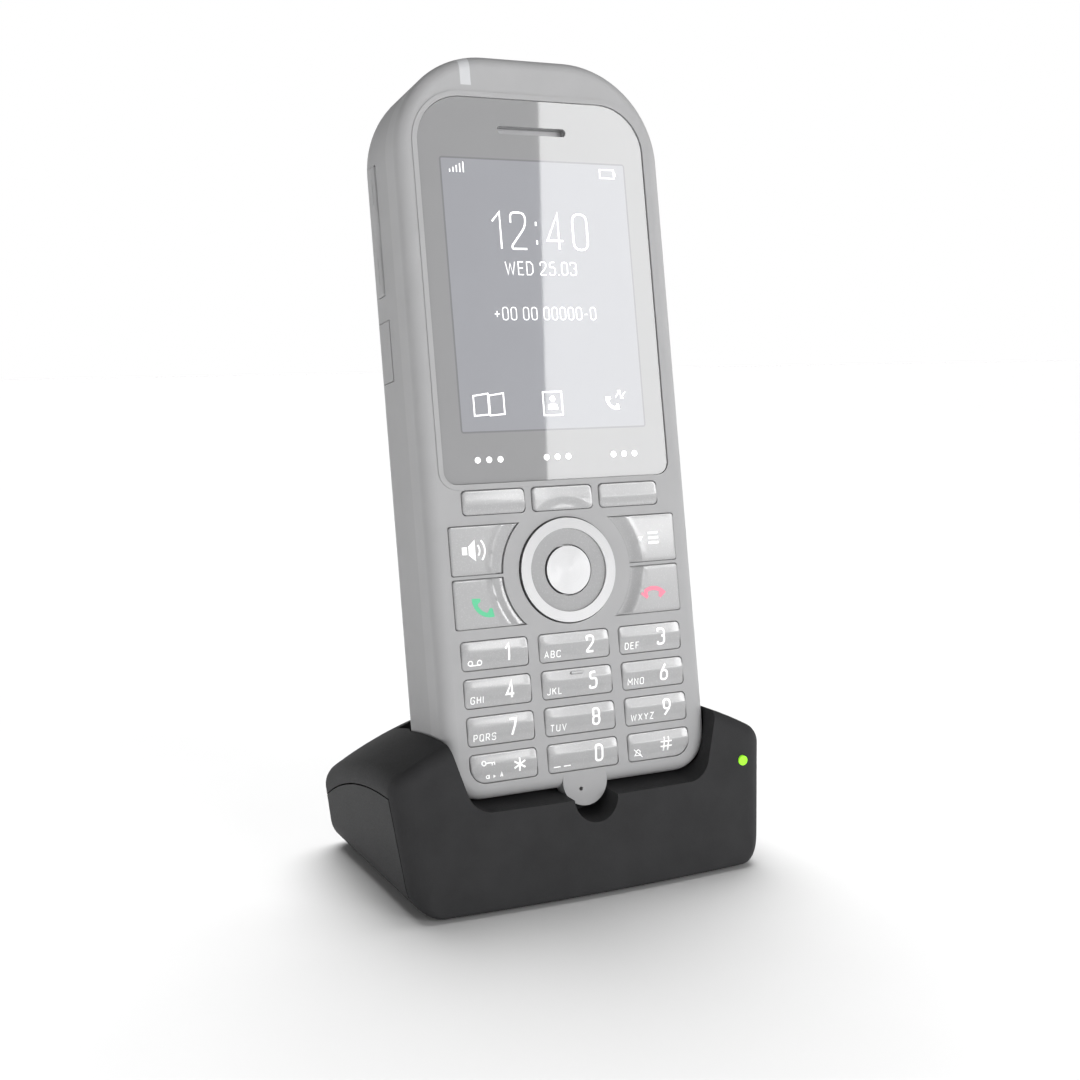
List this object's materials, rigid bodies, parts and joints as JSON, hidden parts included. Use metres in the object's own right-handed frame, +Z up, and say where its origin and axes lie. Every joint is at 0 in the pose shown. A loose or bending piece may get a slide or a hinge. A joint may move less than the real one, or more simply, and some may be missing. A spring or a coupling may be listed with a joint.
{
  "type": "cordless phone with charging cradle",
  "caption": "Cordless telephone handset with colour display, keypad and round navigation key, standing in a tapered charging cradle.",
  "frame": {"origin": "middle of the cradle's footprint, on the surface it stands on", "axes": "+Z up, -Y towards the user who faces the display, +X to that user's right"},
  "size_m": [0.0812, 0.0553, 0.1627],
  "materials": {
    "cradle_shell": "fine satin",
    "cradle_tray": "fine satin",
    "handset_shell": "fine satin",
    "window": "gloss",
    "key_plastic": "satin",
    "bright_trim": "brushed",
    "light_guide": "frosted",
    "rubber": "matt",
    "board": "solder mask",
    "gold_contact": "plated",
    "steel": "plated",
    "black_plastic": "moulded",
    "screen": "display",
    "battery_wrap": "film",
    "silicone": "matt",
    "lit_lamp": "lamp"
  },
  "bodies": {
    "cradle": {"cradle_upper_housing": "cradle_shell", "cradle_lower_housing": "cradle_tray", "rubber_feet": "rubber", "cradle_screws": "steel", "charging_board": "board", "contact_block": "black_plastic", "status_led": "lit_lamp", "status_light_pipe": "light_guide", "power_inlet": "black_plastic"},
    "charging_pin_left": {"charging_pin_left": "gold_contact"},
    "charging_pin_right": {"charging_pin_right": "gold_contact"},
    "handset": {"front_housing": "handset_shell", "rear_housing": "handset_shell", "display_window": "window", "display_panel": "screen", "display_holder": "black_plastic", "earpiece": "black_plastic", "main_board": "board", "dome_sheet": "steel", "key_web": "silicone", "microphone": "steel", "loudspeaker": "steel", "antenna": "gold_contact", "alert_led": "lit_lamp", "alert_light_bar": "light_guide", "battery_pack": "battery_wrap", "battery_terminals": "gold_contact", "handset_contacts": "gold_contact", "volume_switches": "black_plastic", "headset_socket": "black_plastic", "handset_screws": "steel"},
    "battery_cover": {"battery_cover": "handset_shell"},
    "headset_socket_cover": {"headset_socket_cover": "rubber"},
    "volume_rocker": {"volume_rocker": "key_plastic"},
    "nav_gimbal": {"nav_gimbal": "black_plastic"},
    "nav_key": {"nav_key": "key_plastic", "nav_trim_ring": "bright_trim"},
    "nav_centre_key": {"nav_centre_key": "bright_trim"},
    "key_1": {"key_1": "key_plastic"},
    "key_2": {"key_2": "key_plastic"},
    "key_3": {"key_3": "key_plastic"},
    "key_4": {"key_4": "key_plastic"},
    "key_5": {"key_5": "key_plastic"},
    "key_6": {"key_6": "key_plastic"},
    "key_7": {"key_7": "key_plastic"},
    "key_8": {"key_8": "key_plastic"},
    "key_9": {"key_9": "key_plastic"},
    "key_star": {"key_star": "key_plastic"},
    "key_0": {"key_0": "key_plastic"},
    "key_hash": {"key_hash": "key_plastic"},
    "soft_key_left": {"soft_key_left": "key_plastic"},
    "soft_key_middle": {"soft_key_middle": "key_plastic"},
    "soft_key_right": {"soft_key_right": "key_plastic"},
    "speaker_key": {"speaker_key": "key_plastic"},
    "call_key": {"call_key": "key_plastic"},
    "menu_key": {"menu_key": "key_plastic"},
    "end_key": {"end_key": "key_plastic"}
  },
  "joints": [
    {"name": "handset_lift", "type": "slide", "parent": "cradle", "child": "handset", "axis": [0, 0.165, 0.9863], "range_m": [0, 0.06]},
    {"name": "charging_pin_left_press", "type": "slide", "parent": "cradle", "child": "charging_pin_left", "axis": [0, -0.165, -0.9863], "range_m": [0, 0.0008], "stiffness_N_per_m": 400, "springref_m": -0.0005},
    {"name": "charging_pin_right_press", "type": "slide", "parent": "cradle", "child": "charging_pin_right", "axis": [0, -0.165, -0.9863], "range_m": [0, 0.0008], "stiffness_N_per_m": 400, "springref_m": -0.0005},
    {"name": "key_1_press", "type": "slide", "parent": "handset", "child": "key_1", "axis": [0, 0.9863, -0.165], "range_m": [0, 0.0004], "stiffness_N_per_m": 2500, "springref_m": -0.0001},
    {"name": "key_2_press", "type": "slide", "parent": "handset", "child": "key_2", "axis": [0, 0.9863, -0.165], "range_m": [0, 0.0004], "stiffness_N_per_m": 2500, "springref_m": -0.0001},
    {"name": "key_3_press", "type": "slide", "parent": "handset", "child": "key_3", "axis": [0, 0.9863, -0.165], "range_m": [0, 0.0004], "stiffness_N_per_m": 2500, "springref_m": -0.0001},
    {"name": "key_4_press", "type": "slide", "parent": "handset", "child": "key_4", "axis": [0, 0.9863, -0.165], "range_m": [0, 0.0004], "stiffness_N_per_m": 2500, "springref_m": -0.0001},
    {"name": "key_5_press", "type": "slide", "parent": "handset", "child": "key_5", "axis": [0, 0.9863, -0.165], "range_m": [0, 0.0004], "stiffness_N_per_m": 2500, "springref_m": -0.0001},
    {"name": "key_6_press", "type": "slide", "parent": "handset", "child": "key_6", "axis": [0, 0.9863, -0.165], "range_m": [0, 0.0004], "stiffness_N_per_m": 2500, "springref_m": -0.0001},
    {"name": "key_7_press", "type": "slide", "parent": "handset", "child": "key_7", "axis": [0, 0.9863, -0.165], "range_m": [0, 0.0004], "stiffness_N_per_m": 2500, "springref_m": -0.0001},
    {"name": "key_8_press", "type": "slide", "parent": "handset", "child": "key_8", "axis": [0, 0.9863, -0.165], "range_m": [0, 0.0004], "stiffness_N_per_m": 2500, "springref_m": -0.0001},
    {"name": "key_9_press", "type": "slide", "parent": "handset", "child": "key_9", "axis": [0, 0.9863, -0.165], "range_m": [0, 0.0004], "stiffness_N_per_m": 2500, "springref_m": -0.0001},
    {"name": "key_star_press", "type": "slide", "parent": "handset", "child": "key_star", "axis": [0, 0.9863, -0.165], "range_m": [0, 0.0004], "stiffness_N_per_m": 2500, "springref_m": -0.0001},
    {"name": "key_0_press", "type": "slide", "parent": "handset", "child": "key_0", "axis": [0, 0.9863, -0.165], "range_m": [0, 0.0004], "stiffness_N_per_m": 2500, "springref_m": -0.0001},
    {"name": "key_hash_press", "type": "slide", "parent": "handset", "child": "key_hash", "axis": [0, 0.9863, -0.165], "range_m": [0, 0.0004], "stiffness_N_per_m": 2500, "springref_m": -0.0001},
    {"name": "soft_key_left_press", "type": "slide", "parent": "handset", "child": "soft_key_left", "axis": [0, 0.9863, -0.165], "range_m": [0, 0.0004], "stiffness_N_per_m": 2500, "springref_m": -0.0001},
    {"name": "soft_key_middle_press", "type": "slide", "parent": "handset", "child": "soft_key_middle", "axis": [0, 0.9863, -0.165], "range_m": [0, 0.0004], "stiffness_N_per_m": 2500, "springref_m": -0.0001},
    {"name": "soft_key_right_press", "type": "slide", "parent": "handset", "child": "soft_key_right", "axis": [0, 0.9863, -0.165], "range_m": [0, 0.0004], "stiffness_N_per_m": 2500, "springref_m": -0.0001},
    {"name": "speaker_key_press", "type": "slide", "parent": "handset", "child": "speaker_key", "axis": [0, 0.9863, -0.165], "range_m": [0, 0.0004], "stiffness_N_per_m": 2500, "springref_m": -0.0001},
    {"name": "call_key_press", "type": "slide", "parent": "handset", "child": "call_key", "axis": [0, 0.9863, -0.165], "range_m": [0, 0.0004], "stiffness_N_per_m": 2500, "springref_m": -0.0001},
    {"name": "menu_key_press", "type": "slide", "parent": "handset", "child": "menu_key", "axis": [0, 0.9863, -0.165], "range_m": [0, 0.0004], "stiffness_N_per_m": 2500, "springref_m": -0.0001},
    {"name": "end_key_press", "type": "slide", "parent": "handset", "child": "end_key", "axis": [0, 0.9863, -0.165], "range_m": [0, 0.0004], "stiffness_N_per_m": 2500, "springref_m": -0.0001},
    {"name": "nav_centre_key_press", "type": "slide", "parent": "handset", "child": "nav_centre_key", "axis": [0, 0.9863, -0.165], "range_m": [0, 0.0004], "stiffness_N_per_m": 2500, "springref_m": -0.0001},
    {"name": "nav_key_up_down", "type": "hinge", "parent": "handset", "child": "nav_gimbal", "pos_m": [0, -0.00951, 0.0616], "axis": [1, 0, 0], "range_deg": [-2, 2], "stiffness_Nm_per_rad": 0.25},
    {"name": "nav_key_left_right", "type": "hinge", "parent": "nav_gimbal", "child": "nav_key", "pos_m": [0, -0.00951, 0.0616], "axis": [0, 0.165, 0.9863], "range_deg": [-2, 2], "stiffness_Nm_per_rad": 0.25},
    {"name": "battery_cover_swing", "type": "hinge", "parent": "handset", "child": "battery_cover", "pos_m": [0, 0.01659, 0.10002], "axis": [1, 0, 0], "range_deg": [0, 25]},
    {"name": "headset_socket_cover_swing", "type": "hinge", "parent": "handset", "child": "headset_socket_cover", "pos_m": [-0.02875, 0.00883, 0.09909], "axis": [0, -0.9863, 0.165], "range_deg": [0, 100]},
    {"name": "volume_rocker_tilt", "type": "hinge", "parent": "handset", "child": "volume_rocker", "pos_m": [-0.02585, 0.01381, 0.12888], "axis": [0, -0.9863, 0.165], "range_deg": [-2, 2], "stiffness_Nm_per_rad": 0.4}
  ]
}
